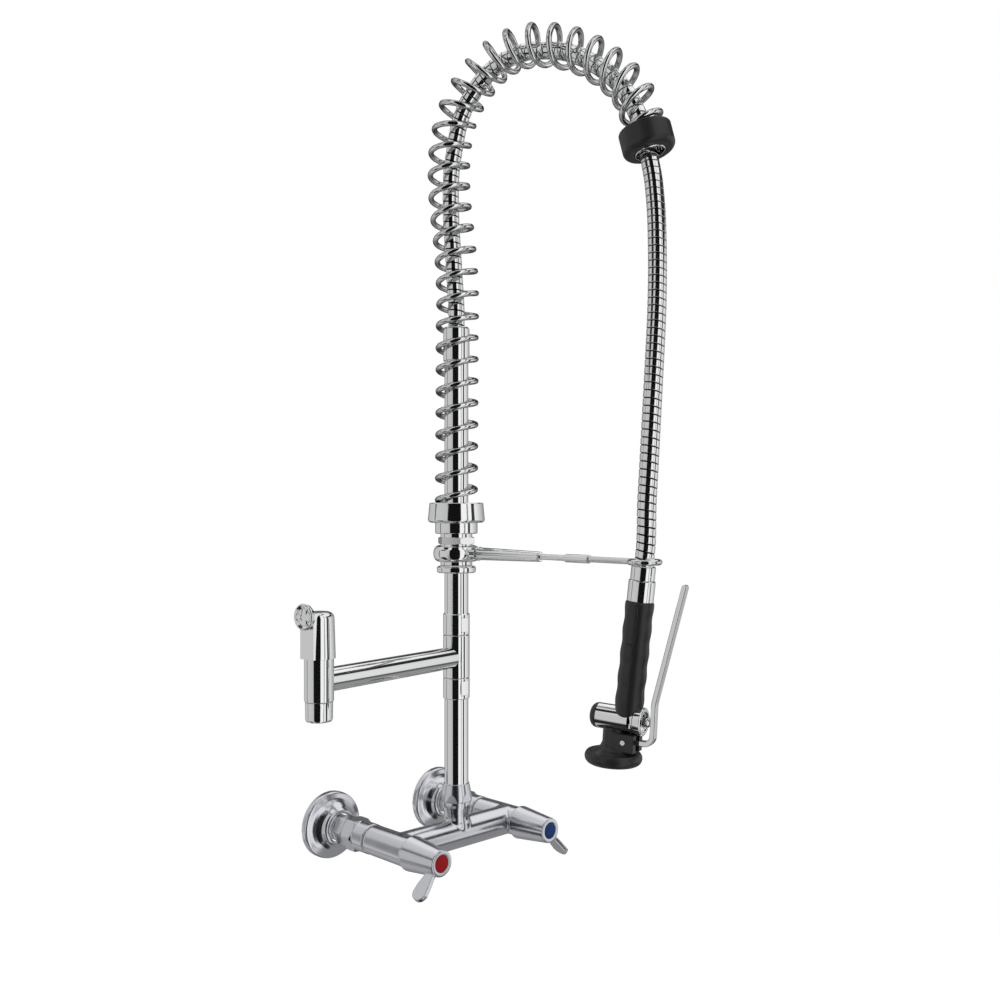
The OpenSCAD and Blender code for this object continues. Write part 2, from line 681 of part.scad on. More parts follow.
// the gun turns on this ferrule's spigot
module hose_end_ferrule() color(chrome) on_gun() difference() {
  turned([[0, 0], [10, 0], [10.8, -0.8], [10.8, -12.5], [7.5, -12.5], [7.5, -24], [0, -24]]);
  rod(hose_r + 0.3, -10, 1);
  rod(hose_bore_r, -25, 0);
}

// ---------- spray gun ----------

valve_r = 11.3;
flange_room = 12.5;              // about the gland nut
grip_top = -31.2;
handle_foot = -129.4;
module gun_handle_tube() color(chrome) difference() {
  on_gun() difference() {
    turned([[0, -12.9], [11.2, -12.9], [11.85, -13.5], [11.85, grip_top], [9, grip_top],
            [9, -124.4], [7, -124.4], [7, handle_foot], [0, handle_foot]]);
    rod(7.5 + play, -25, -12);
    rod(5, handle_foot - 1, -24);
  }
  on_gun_valve() rod(flange_room, 8.2, 20);
  on_gun_valve() rod(8.4, 4.7, 9);
}

// waved rubber sleeve, with a swelling between each pair of fingers
module gun_grip() color(rubber) difference() {
  foot = -133.4;
  wave = 20.8;
  on_gun() difference() {
    turned(concat([[0, grip_top - 0.1], [11.6, grip_top - 0.1]],
      [for (z = [-33:-2.4:-129.4]) [grip_r + 0.4 * cos((z + 36) * 360 / wave), z]],
      [[grip_r - 0.6, -131.8], [grip_r - 1.6, foot], [0, foot]]));
    rod(9 + play, foot - 1, grip_top + 1);
  }
  on_gun_valve() rod(valve_r + play, -40, 40);
  on_gun_valve() rod(flange_room, 8.2, 40);
}

seat_back = -7;
seat_front = -4.5;
nozzle_y = 11.9;                 // from the handle's axis towards the wall
module gun_body() color(chrome) difference() {
  on_gun_valve() rod(valve_r, -27, 8);
  on_gun_valve() {
    rod(8.2, -28, seat_back);
    rod(5.2, seat_back - 1, seat_front + 1);
    rod(8.2, seat_front, 9);
    // windows beside the stem
    for (side = [-1, 1]) translate([side * 13, 0, 5.2]) cube([10, 11, 3.4], center = true);
  }
  // ports from the handle and to the nozzle
  on_gun() rod(7 + play, handle_foot - 0.2, -112);
  on_gun() rod(5, -head_drop, handle_foot);
  on_head() translate([0, nozzle_y, 0]) rod(5, -14, 0);
}

module gun_end_cap() color(black_plastic) on_gun_valve() turned(concat(
  [[0, -25.6], [8.1, -25.6], [8.1, -27.1], [valve_r, -27.1]], arc(valve_r - 6, -28, 6, 0, -90, 6)));

stem_r = 4.3;
module gland_nut() color(chrome) on_gun_valve() difference() {
  turned([[0, 5], [8.1, 5], [8.1, 8.3], [11.6, 8.3], [12.4, 9.1], [12.4, 15.2], [11.4, 16.2], [0, 16.2]]);
  rod(stem_r + play, 4, 17);
  rod(9, 13.2, 17);
}

module valve_stem() color(steel) on_gun_valve() turned([
  [0, -11.8], [4.5, -11.8], [4.5, -9.85], [2.5, -9.85], [2.5, 1], [stem_r, 3], [stem_r, 20],
  [2.6, 21.8], [0, 21.8]]);

module valve_disc() color(rubber) on_gun_valve() pipe(7, 2.5 + play, -9.8, seat_back - 0.3);

// the spring that shuts the valve, as the sleeve it fills
module return_spring() color(steel) on_gun_valve() pipe(6.6, 5.3, -25.5, -9.9);

// the lever's pivot, from the valve's axis
pivot_out = 0.5;
pivot_z = -18.9;
pin_r = 2.3;
fork = 7.8;
module on_pivot() on_head() translate([0, -pivot_out, pivot_z]) rotate([0, 90, 0]) children();

module nozzle_skirt() color(black_plastic) difference() {
  ear = 11;
  union() {
    on_head() translate([0, nozzle_y, 0]) turned([
      [0, -8], [10.3, -8], [10.5, -21.5], [12, -24.9], [14, -27.2], [19.5, -30.1], [21, -30.7], [21, -33.2],
      [14.8, -33.2], [14.8, -30.2], [0, -30.2]]);
    // forked ears that hold the lever
    on_head() translate([-ear, -10.5, -27.7]) cube([2 * ear, 22.5, 16]);
  }
  on_gun_valve() rod(valve_r + play, -40, 40);
  on_gun_valve() rod(flange_room, 8.2, 17);
  on_head() translate([-fork / 2, -20, -31]) cube([fork, 25.6, 25]);
  on_pivot() rod(pin_r + play, -12, 12);
  on_head() translate([0, nozzle_y, 0]) rod(5, -40, 0);
}

module nozzle_bumper() color(rubber) on_head() translate([0, nozzle_y, 0]) {
  ring_z = -34.9;
  turned(concat(arc(19.4, ring_z, 6.3, 50, -130, 12),
    [[14.9, -39.1], [14.9, -33.3], [21.1, -33.3], [21.1, -30.3]]));
}

module spray_plate() color(steel) on_head() translate([0, nozzle_y, 0]) difference() {
  turned([[0, -35.7], [12, -35.7], [14.7, -34.9], [14.7, -30.3], [12.7, -30.3], [12.7, -33.1], [0, -33.1]]);
  for (ring = [[4, 6], [9.2, 12]]) for (k = [1:ring[1]]) rotate([0, 0, 360 * k / ring[1]])
    translate([ring[0], 0, 0]) rod(0.9, -37, -32);
}

module pivot_pin() color(steel) on_pivot() {
  rod(pin_r, -11.2, 11.2);
  turned([[0, 11.2], [3.4, 11.2], [3.2, 12.2], [0, 12.4]]);
}

// flat bar bent along a line of points, each [out, up] from the valve's axis
lever_t = 5;
lever_w = 7;
lever_out = 24.7;
lever_tip = [47.1, 121];
lever_line = concat([[pivot_out, pivot_z], [12, pivot_z]],
  arc(lever_out - 8, pivot_z + 8, 8, -90, 0, 8), arc(lever_out + 30, 14, 30, 180, 168, 3), [lever_tip]);
function bar_side(line, w) = [for (i = [0:len(line) - 1]) let (
    t = unit(line[min(i + 1, len(line) - 1)] - line[max(i - 1, 0)])) line[i] + w * [-t[1], t[0]]];
lever_back = bar_side(lever_line, lever_t / 2);
lever_front = bar_side(lever_line, -lever_t / 2);

module gun_lever() color(chrome) on_head() rotate([90, 0, -90]) difference() {
  union() {
    linear_extrude(lever_w, center = true)
      polygon(concat(lever_front, [for (i = [len(lever_back) - 1:-1:0]) lever_back[i]]));
    translate([pivot_out, pivot_z, 0]) cylinder(r = 5, h = lever_w, center = true);
    translate(lever_tip) cylinder(r = lever_t / 2, h = lever_w, center = true);
  }
  translate([pivot_out, pivot_z, 0]) cylinder(r = pin_r + play, h = 20, center = true);
}

wall_flanges();
inlet_connectors();
sealing_washers();
check_valves();
union_nuts();
mixer_body();
cartridge_bodies();
fixed_discs();
riser_nut();
riser_tube();
swivel_collars();
swivel_core();
core_orings();
upper_tube();
stop_nut();
thrust_washer();
hot_handle();
hot_spindle();
hot_screw();
hot_index();
cold_handle();
cold_spindle();
cold_screw();
cold_index();
swivel_tee();
arm_tube();
spout_body();
spout_hood();
spout_valve();
aerator_housing();
aerator_insert();
spout_knob();
knob_spindle();
swivel_sleeve();
sleeve_bushes();
hook_boss();
boss_nut();
hook_stem();
hook_coupling();
hook_ring();
spring_collar();
overhead_spring();
spring_bumper();
bumper_bush();
hose();
hose_nut();
hose_end_ferrule();
gun_handle_tube();
gun_grip();
gun_body();
gun_end_cap();
gland_nut();
nozzle_skirt();
nozzle_bumper();
spray_plate();
pivot_pin();
gun_lever();
valve_stem();
valve_disc();
return_spring();
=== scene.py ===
import bisect
import json
import math

import bmesh
import bpy
from mathutils import Matrix, Vector


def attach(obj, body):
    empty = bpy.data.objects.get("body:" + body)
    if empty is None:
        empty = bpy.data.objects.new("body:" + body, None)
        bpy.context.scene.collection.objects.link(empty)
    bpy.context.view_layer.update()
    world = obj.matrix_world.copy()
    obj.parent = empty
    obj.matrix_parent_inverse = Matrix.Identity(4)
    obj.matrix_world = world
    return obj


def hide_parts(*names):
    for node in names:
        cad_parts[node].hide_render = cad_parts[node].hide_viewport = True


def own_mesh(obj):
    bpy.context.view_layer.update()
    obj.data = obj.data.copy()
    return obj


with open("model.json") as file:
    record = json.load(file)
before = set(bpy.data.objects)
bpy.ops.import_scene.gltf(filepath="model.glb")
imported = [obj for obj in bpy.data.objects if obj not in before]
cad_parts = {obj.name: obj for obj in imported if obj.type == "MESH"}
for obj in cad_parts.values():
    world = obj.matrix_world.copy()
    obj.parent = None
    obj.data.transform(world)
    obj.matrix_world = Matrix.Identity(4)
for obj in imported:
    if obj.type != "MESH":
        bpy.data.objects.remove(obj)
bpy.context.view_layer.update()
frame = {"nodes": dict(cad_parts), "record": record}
nodes = frame["nodes"]
scene = bpy.context.scene
scene.view_settings.view_transform = "Standard"

# ---------- camera ----------
# A level camera a little under half way up the faucet, on its left and in front of the wall.
camera_data = bpy.data.cameras.new("camera")
camera_data.lens = 39.6
camera_data.sensor_width = 36
camera = bpy.data.objects.new("camera", camera_data)
camera.location = (-.763, -.968, .345)
camera.rotation_euler = (math.radians(90), 0, math.radians(-44.25))
scene.collection.objects.link(camera)
scene.camera = camera

# ---------- hose ----------
# Flexible hose in a casing of stainless strip, wound so that each rib hooks into the next. It
# is screwed to the top of the riser, runs up inside the spring and over the arch, then hangs
# down through the hook's ring to the gun.
RISER_Y = -.12
ARCH_SIDE = Vector((math.cos(math.radians(12)), math.sin(math.radians(12)), 0))
GUN = (Matrix.Translation((0, -.3654, .2874)) @ Matrix.Rotation(math.radians(16), 4, "Z")
       @ Matrix.Rotation(math.radians(6.4), 4, "X"))
# each knot's x, its distance out from the riser, and its height
hose_knots = [Vector((x, RISER_Y - reach, z)) for x, reach, z in (
    (0, 0, .508), (0, 0, .524), (0, 0, .541), (0, -.001, .556), (-.0005, -.0025, .577),
    (-.001, -.004, .601), (-.0015, -.006, .628), (-.0015, -.007, .6525), (-.0015, -.007, .6695),
    (-.0015, -.006, .6855), (-.001, -.004, .699), (0, -.0005, .7175), (.0005, .0035, .732),
    (.0015, .008, .7435), (.003, .015, .755), (.006, .0275, .769), (.009, .0435, .7805),
    (.013, .061, .7875), (.0175, .082, .79), (.022, .103, .787), (.0265, .1235, .7815),
    (.03, .1405, .7735), (.0335, .1575, .7625), (.037, .173, .7495), (.04, .1875, .7335),
    (.0425, .198, .716), (.044, .206, .698), (.045, .2115, .6795), (.0445, .218, .6555),
    (.043, .2225, .6395), (.041, .226, .6235), (.0385, .2295, .6055), (.035, .233, .5835),
    (.031, .2365, .553), (.0255, .24, .5165), (.021, .242, .488), (.0155, .244, .452),
    (.0105, .2455, .416), (.005, .247, .373), (.0015, .2475, .34), (.0005, .248, .32))]
hose_knots += [GUN @ Vector((0, 0, height)) for height in (.017, .008, -.002, -.01)]


class Way:
    """A smooth curve through its knots, as a point and a frame at any length along it."""

    def __init__(self, knots, per_span=6):
        self.points = []
        for i in range(len(knots) - 1):
            a, b, c, d = (knots[max(i - 1, 0)], knots[i], knots[i + 1], knots[min(i + 2, len(knots) - 1)])
            for k in range(per_span):
                t = k / per_span
                self.points.append(.5 * (2 * b + (c - a) * t + (2 * a - 5 * b + 4 * c - d) * t ** 2
                                         + (3 * b - a - 3 * c + d) * t ** 3))
        self.points.append(knots[-1])
        self.at = [0]
        for a, b in zip(self.points, self.points[1:]):
            self.at.append(self.at[-1] + (b - a).length)
        self.length = self.at[-1]

    def point(self, s):
        s = min(max(s, 0), self.length)
        i = min(bisect.bisect_right(self.at, s), len(self.at) - 1) - 1
        share = (s - self.at[i]) / (self.at[i + 1] - self.at[i])
        return self.points[i].lerp(self.points[i + 1], share)

    def frame(self, s, reach=.003):
        along = (self.point(s + reach) - self.point(s - reach)).normalized()
        out = along.cross(ARCH_SIDE).normalized()
        return along, out, out.cross(along)


hose_way = Way(hose_knots)
HOSE_RIBS = 130
RIB = hose_way.length / HOSE_RIBS
RIB_SIDES = 28
CREST_R, GROOVE_R, CASING_WALL = .0085, .0078, .0012
SEAM_TOP_R, SEAM_FADE = .0083, .0004         # painted shade lies below this radius, over this depth
rib_outline = [(GROOVE_R, 0), (CREST_R, .0003), (CREST_R, .0059), (.0082, .0062), (GROOVE_R, .0064),
               (GROOVE_R, RIB)]
hose = bmesh.new()
rib_points = [hose.verts.new((r, 0, z)) for r, z in rib_outline]
for a, b in zip(rib_points, rib_points[1:]):
    hose.edges.new((a, b))
# the strip is a helix that climbs one rib a turn
bmesh.ops.spin(hose, geom=hose.verts[:] + hose.edges[:], axis=(0, 0, 1), cent=(0, 0, 0),
               dvec=(0, 0, RIB / RIB_SIDES), angle=math.tau, steps=RIB_SIDES)
one_rib = hose.verts[:] + hose.edges[:] + hose.faces[:]
for i in range(1, HOSE_RIBS):
    copy = bmesh.ops.duplicate(hose, geom=one_rib)["geom"]
    copied = [part for part in copy if isinstance(part, bmesh.types.BMVert)]
    bmesh.ops.translate(hose, verts=copied, vec=(0, 0, RIB * i))
bmesh.ops.remove_doubles(hose, verts=hose.verts, dist=1e-5)
# each point's share of painted shade, by how far it lies below the crest
seam = hose.verts.layers.float.new("seam")
for vert in hose.verts:
    vert[seam] = min(max((SEAM_TOP_R - vert.co.xy.length) / SEAM_FADE, 0), 1)
    s = vert.co.z * hose_way.length / (hose_way.length + RIB)
    along, out, side = hose_way.frame(s)
    vert.co = hose_way.point(s) + vert.co.x * out + vert.co.y * side
bmesh.ops.recalc_face_normals(hose, faces=hose.faces)


def finish_mesh(name, bm, sharp=35):
    """The object of a bmesh, with smooth faces and edges kept sharp over an angle in degrees."""
    mesh = bpy.data.meshes.new(name)
    bm.to_mesh(mesh)
    bm.free()
    mesh.shade_smooth()
    mesh.set_sharp_from_angle(angle=math.radians(sharp))
    piece = bpy.data.objects.new(name, mesh)
    scene.collection.objects.link(piece)
    return piece


def wear_group():
    """Fine marks of polishing and use: a roughness that wanders, and a height for a bump."""
    tree = bpy.data.node_groups.new("wear", "ShaderNodeTree")
    face = tree.interface
    face.new_socket("Vector", in_out="INPUT", socket_type="NodeSocketVector")
    for name, value in (("Roughness", .1), ("Spread", .5), ("Scale", 60)):
        face.new_socket(name, in_out="INPUT", socket_type="NodeSocketFloat").default_value = value
    for name in ("Roughness", "Height"):
        face.new_socket(name, in_out="OUTPUT", socket_type="NodeSocketFloat")
    add, link = tree.nodes.new, tree.links.new
    given, result = add("NodeGroupInput"), add("NodeGroupOutput")
    cloud, fine, fine_scale = add("ShaderNodeTexNoise"), add("ShaderNodeTexNoise"), add("ShaderNodeMath")
    swing, scaled, rough = add("ShaderNodeMath"), add("ShaderNodeMath"), add("ShaderNodeMath")
    fine_height, height = add("ShaderNodeMath"), add("ShaderNodeMath")
    cloud.inputs["Detail"].default_value = 5
    fine.inputs["Detail"].default_value = 3
    fine_scale.operation, fine_scale.inputs[1].default_value = "MULTIPLY", 9
    swing.operation, swing.inputs[1].default_value = "SUBTRACT", .5
    scaled.operation = "MULTIPLY"
    rough.operation = "MULTIPLY_ADD"
    fine_height.operation, fine_height.inputs[1].default_value = "MULTIPLY", .35
    height.operation = "ADD"
    for noise in (cloud, fine):
        link(given.outputs["Vector"], noise.inputs["Vector"])
    link(given.outputs["Scale"], cloud.inputs["Scale"])
    link(given.outputs["Scale"], fine_scale.inputs[0])
    link(fine_scale.outputs[0], fine.inputs["Scale"])
    link(cloud.outputs["Fac"], swing.inputs[0])
    link(swing.outputs[0], scaled.inputs[0])
    link(given.outputs["Spread"], scaled.inputs[1])
    link(scaled.outputs[0], rough.inputs[0])
    link(given.outputs["Roughness"], rough.inputs[1])
    link(given.outputs["Roughness"], rough.inputs[2])
    link(rough.outputs[0], result.inputs["Roughness"])
    link(fine.outputs["Fac"], fine_height.inputs[0])
    link(fine_height.outputs[0], height.inputs[0])
    link(cloud.outputs["Fac"], height.inputs[1])
    link(height.outputs[0], result.inputs["Height"])
    return tree


WEAR = wear_group()


def finish_of(name, colour, metal, roughness, spread, scale, bump):
    """A material with the marks of wear. Bump is the depth of its surface in metres."""
    material = bpy.data.materials.new(name)
    material.use_nodes = True
    add, link = material.node_tree.nodes.new, material.node_tree.links.new
    shader = material.node_tree.nodes["Principled BSDF"]
    shader.inputs["Base Color"].default_value = (*colour, 1)
    shader.inputs["Metallic"].default_value = metal
    place, wear, bumps = add("ShaderNodeTexCoord"), add("ShaderNodeGroup"), add("ShaderNodeBump")
    wear.node_tree = WEAR
    wear.inputs["Roughness"].default_value = roughness
    wear.inputs["Spread"].default_value = spread
    wear.inputs["Scale"].default_value = scale
    bumps.inputs["Strength"].default_value = 1
    bumps.inputs["Distance"].default_value = bump
    link(place.outputs["Object"], wear.inputs["Vector"])
    link(wear.outputs["Roughness"], shader.inputs["Roughness"])
    link(wear.outputs["Height"], bumps.inputs["Height"])
    link(bumps.outputs["Normal"], shader.inputs["Normal"])
    return material


def shade_by(material, share, colour, shaded):
    """The material goes from one colour to another by a share, which is a socket of its nodes."""
    tree = material.node_tree
    blend = tree.nodes.new("ShaderNodeMix")
    blend.data_type = "RGBA"
    blend.inputs["A"].default_value = (*colour, 1)
    blend.inputs["B"].default_value = (*shaded, 1)
    tree.links.new(share, blend.inputs["Factor"])
    tree.links.new(blend.outputs["Result"], tree.nodes["Principled BSDF"].inputs["Base Color"])


body_of = {node: body for body, group in frame["record"]["behaviour"]["bodies"].items() for node in group}
slot_of = {part["node"]: part["material_slot"] for part in frame["record"]["subparts"]}


def stand_for(piece, material, replaced):
    """The piece takes the place of a node, on its body, in the material given."""
    piece.data.materials.clear()
    piece.data.materials.append(material)
    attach(piece, body_of[replaced])
    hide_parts(replaced)


# bright strip, with painted shade in the seam between the ribs
HOSE_COLOUR, SEAM_SHADE_COLOUR = (.86, .865, .87), (.02, .02, .02)
hose_steel = finish_of("hose_steel", HOSE_COLOUR, 1, .07, .5, 420, .000004)
seam_shade_mask = hose_steel.node_tree.nodes.new("ShaderNodeAttribute")
seam_shade_mask.attribute_name = "seam"
shade_by(hose_steel, seam_shade_mask.outputs["Fac"], HOSE_COLOUR, SEAM_SHADE_COLOUR)
hose = finish_mesh("hose_casing", hose, 20)
casing_wall = hose.modifiers.new("wall", "SOLIDIFY")
casing_wall.thickness = CASING_WALL
casing_wall.offset = -1
stand_for(hose, hose_steel, "hose")

# ---------- overhead spring ----------
# Open coil of round chromed spring wire, 30.55 curls. It stands on the swivelling collar, arches
# over and carries the hose, and its lower end sits in the rubber bumper. Its ends are turned
# square to their seats.
spring_knots = [Vector((x, RISER_Y - reach, z)) for x, reach, z in (
    (0, 0, .3427), (0, .0001, .36), (0, .0003, .378), (0, .0006, .412), (0, .001, .446),
    (0, .0011, .479), (0, .0011, .505), (0, .0013, .526), (0, .002, .547), (.0001, .0003, .5811),
    (-.0006, -.0029, .6153), (-.0016, -.0074, .649), (-.002, -.0094, .6821), (-.0015, -.007, .7153),
    (.0007, .0033, .7469), (.0051, .0239, .7722), (.0105, .0494, .7896), (.017, .0799, .7958),
    (.0244, .1148, .789), (.0313, .1472, .7741), (.0371, .1744, .7535), (.0397, .1867, .7406),
    (.0419, .1971, .7269), (.043, .2025, .7169), (.0439, .2063, .7067), (.0445, .2092, .6964))]
BUMPER = (Matrix.Translation((.0454, -.3336, .6773)) @ Matrix.Rotation(math.radians(12), 4, "Z")
          @ Matrix.Rotation(math.radians(-15.1), 4, "X"))
spring_knots.append(BUMPER @ Vector((0, 0, .0077)))
spring_way = Way(spring_knots)
WIRE_R, WIRE_SIDES = .0029, 14
SPRING_CURLS, CURL_STEPS = 30.55, 30
SPRING_PHASE = math.radians(92)
END_BEND, END_STRAIGHT = .0042, .0052        # radius of the bend at each end, and the straight past it
# the share of the curls passed, the outer radius and the lean of the curls, by the share of the length
curls_passed = [(0, 0), (.26, .2618), (.5, .502), (.631, .6344), (.72, .7295), (.8, .8032), (.9, .8982),
                (1, 1)]
coil_radius = [(0, .0225), (.65, .0223), (.9, .0204), (1, .0203)]
coil_lean = [(0, 0), (.5, 0), (.6, .12), (.75, .1), (.93, .18), (1, .1)]


def look_up(table, x):
    """The value of a table of pairs at x, in a straight line between them."""
    for (x0, y0), (x1, y1) in zip(table, table[1:]):
        if x <= x1:
            return y0 + (y1 - y0) * (x - x0) / (x1 - x0)
    return table[-1][1]


def swept(path, outs, reach, sides):
    """A closed tube on a path. Reach gives the section's (out, aside) at a step and a turn."""
    tube = bmesh.new()
    line = [tube.verts.new((1, 0, k)) for k in range(len(path))]
    for a, b in zip(line, line[1:]):
        tube.edges.new((a, b))
    bmesh.ops.spin(tube, geom=line + tube.edges[:], axis=(0, 0, 1), cent=(0, 0, 0), angle=math.tau,
                   steps=sides, use_merge=True)
    bmesh.ops.holes_fill(tube, edges=[e for e in tube.edges if e.is_boundary], sides=0)
    for vert in tube.verts:
        k = round(vert.co.z)
        along = (path[min(k + 1, len(path) - 1)] - path[max(k - 1, 0)]).normalized()
        aside = along.cross(outs[k]).normalized()
        u, v = reach(k, math.atan2(vert.co.y, vert.co.x))
        vert.co = path[k] + u * aside.cross(along) + v * aside
    bmesh.ops.recalc_face_normals(tube, faces=tube.faces)
    return tube


def round_wire(radius):
    """The section of a round wire, for swept."""
    return lambda k, turn: (radius * math.cos(turn), radius * math.sin(turn))


def curl_out(share):
    """Outward direction of the wire at a share of the spring's length."""
    turn = SPRING_PHASE + math.tau * SPRING_CURLS * look_up(curls_passed, share)
    along, out, _ = spring_way.frame(spring_way.length * share)
    return math.cos(turn) * ARCH_SIDE + math.sin(turn) * (out - look_up(coil_lean, share) * along)


def end_bend(start, along, seat_way):
    """The wire's bend towards its seat, and its straight end."""
    bend = [start + END_BEND * (math.sin(a) * along + (1 - math.cos(a)) * seat_way)
            for a in (math.radians(15 * k) for k in range(1, 7))]
    return bend + [bend[-1] + END_STRAIGHT * seat_way]


wire_outs, wire_path = [], []
curl_steps = round(SPRING_CURLS * CURL_STEPS)
for i in range(curl_steps + 1):
    share = i / curl_steps
    wire_outs.append(curl_out(share))
    wire_path.append(spring_way.point(spring_way.length * i / curl_steps)
                     + (look_up(coil_radius, share) - WIRE_R) * wire_outs[-1])
down, bumper_way = Vector((0, 0, -1)), BUMPER.to_3x3() @ Vector((0, 0, -1))
foot = end_bend(wire_path[0], down.cross(wire_outs[0]).normalized(), down)
head = end_bend(wire_path[-1], bumper_way.cross(wire_outs[-1]).normalized(), bumper_way)
wire_path = foot[::-1] + wire_path + head
wire_outs = [wire_outs[0]] * len(foot) + wire_outs + [wire_outs[-1]] * len(head)
spring = finish_mesh("overhead_coil", swept(wire_path, wire_outs, round_wire(WIRE_R), WIRE_SIDES), 50)

# painted dark reflection: the wire's colour is darker along its sides, where the camera sees it at a slant,
# than across its face
WIRE_COLOUR, WIRE_SIDE_REFLECTION_COLOUR = (.78, .785, .79), (.05, .05, .052)
spring_chrome = finish_of("spring_chrome", WIRE_COLOUR, 1, .06, .6, 160, .000008)
grazing = spring_chrome.node_tree.nodes.new("ShaderNodeLayerWeight")
side_reflection_share = spring_chrome.node_tree.nodes.new("ShaderNodeMapRange")
grazing.inputs["Blend"].default_value = .5
side_reflection_share.inputs["From Min"].default_value = .35
side_reflection_share.inputs["From Max"].default_value = .75
spring_chrome.node_tree.links.new(grazing.outputs["Facing"], side_reflection_share.inputs["Value"])
shade_by(spring_chrome, side_reflection_share.outputs["Result"], WIRE_COLOUR, WIRE_SIDE_REFLECTION_COLOUR)
stand_for(spring, spring_chrome, "overhead_spring")

# ---------- studio ----------
# A pale round floor and soft even light. The metal alone mirrors a room of pale walls, with one
# dark doorway, which gives the chrome its dark stripe, and with bands of dark and light under and
# over the walls.
DOORWAY = math.radians(132)      # turns the room, whose doorway is near its own +X
# grey of the walls by the angle round the room, in degrees
walls = [(-180, .12), (-158, .2), (-140, .55), (-100, .6), (-98, .1), (-94, .1), (-92, .6), (-62, .6),
         (-37, .55), (-34, .006), (18, .006), (20, 1), (43, 1), (45, .3), (49, .3), (51, 1), (64, 1),
         (66, .04), (78, .04), (82, .95), (118, .6), (150, .3), (180, .12)]
# grey past the walls, from a look straight down, -1, to one straight up, 1, on the room's darker side
dark_levels = [(-1, .03), (-.97, .03), (-.95, .3), (-.55, .3), (-.5, .12), (-.36, .12), (-.33, .5),
               (.36, .5), (.38, .02), (.58, .03), (.62, 1), (.92, 1), (.945, .02), (.965, .02), (.98, 1),
               (1, 1)]
# the same on its lighter side
light_levels = [(-1, .03), (-.97, .03), (-.95, .4), (-.6, .5), (-.56, .3), (-.53, .3), (-.5, .62),
                (.5, .62), (.92, .8), (.945, .03), (.965, .03), (.98, .9), (1, 1)]
# the same in the corner of the lighter side
corner_levels = [(-1, .03), (-.9, .03), (-.87, .4), (-.83, .4), (-.8, .02), (-.34, .02), (-.3, .5),
                 (.34, .5), (.37, .02), (.56, .02), (.6, .75), (.67, .75), (.7, .02), (.86, .02),
                 (.9, .8), (1, 1)]
# shares of the darker side, of the corner, and of the taller walls, by the angle round the room
dark_side = [(-180, 1), (-150, 1), (-125, 0), (-45, 0), (-37, 1), (180, 1)]
corner = [(-180, 0), (-92, 0), (-88, 1), (-62, 1), (-58, 0), (180, 0)]
tall = [(-180, 0), (-44, 0), (-38, 1), (50, 1), (66, 0), (180, 0)]
# the walls fade out between these heights of a look, both up and down, and go further where they're tall
WALL_FADE_START, WALL_FADE_END, TALL_RISE = .32, .38, .56


def math_node(tree, operation, *values):
    """The result of a Math node on sockets or numbers."""
    node = tree.nodes.new("ShaderNodeMath")
    node.operation = operation
    for socket, value in zip(node.inputs, values):
        if isinstance(value, (int, float)):
            socket.default_value = value
        else:
            tree.links.new(value, socket)
    return node.outputs[0]


def greys(tree, stops, lowest, span, share):
    """The grey at a share of the way through pairs of place and grey."""
    ramp = tree.nodes.new("ShaderNodeValToRGB")
    stretch = ramp.color_ramp.elements
    for i, (at, grey) in enumerate(stops):
        stop = stretch[i] if i < 2 else stretch.new((at - lowest) / span)
        stop.position = (at - lowest) / span
        stop.color = (grey, grey, grey, 1)
    tree.links.new(share, ramp.inputs[0])
    return ramp.outputs["Color"]


def mixed(tree, share, first, second):
    """A share of the second colour, and the rest of the first."""
    blend = tree.nodes.new("ShaderNodeMix")
    blend.data_type = "RGBA"
    tree.links.new(share, blend.inputs["Factor"])
    tree.links.new(first, blend.inputs["A"])
    tree.links.new(second, blend.inputs["B"])
    return blend.outputs["Result"]


world = bpy.data.worlds.new("room")
scene.world = world
world.use_nodes = True
tree = world.node_tree
tree.nodes.clear()
add, link = tree.nodes.new, tree.links.new
look, room_turn, split = add("ShaderNodeTexCoord"), add("ShaderNodeMapping"), add("ShaderNodeSeparateXYZ")
room_turn.vector_type = "POINT"
room_turn.inputs["Rotation"].default_value = (0, 0, DOORWAY)
link(look.outputs["Generated"], room_turn.inputs["Vector"])
link(room_turn.outputs[0], split.inputs[0])
azimuth = math_node(tree, "ARCTAN2", split.outputs["Y"], split.outputs["X"])
around = math_node(tree, "MULTIPLY_ADD", azimuth, 1 / math.tau, .5)
upward = math_node(tree, "MULTIPLY_ADD", split.outputs["Z"], .5, .5)
tall_share = greys(tree, tall, -180, 360, around)
past_walls = add("ShaderNodeMapRange")
link(math_node(tree, "ABSOLUTE", split.outputs["Z"]), past_walls.inputs["Value"])
link(math_node(tree, "MULTIPLY_ADD", tall_share, TALL_RISE, WALL_FADE_START), past_walls.inputs["From Min"])
link(math_node(tree, "MULTIPLY_ADD", tall_share, TALL_RISE, WALL_FADE_END), past_walls.inputs["From Max"])
light_part = mixed(tree, greys(tree, corner, -180, 360, around), greys(tree, light_levels, -1, 2, upward),
                   greys(tree, corner_levels, -1, 2, upward))
beyond = mixed(tree, greys(tree, dark_side, -180, 360, around), light_part,
               greys(tree, dark_levels, -1, 2, upward))
room = mixed(tree, past_walls.outputs["Result"], greys(tree, walls, -180, 360, around), beyond)

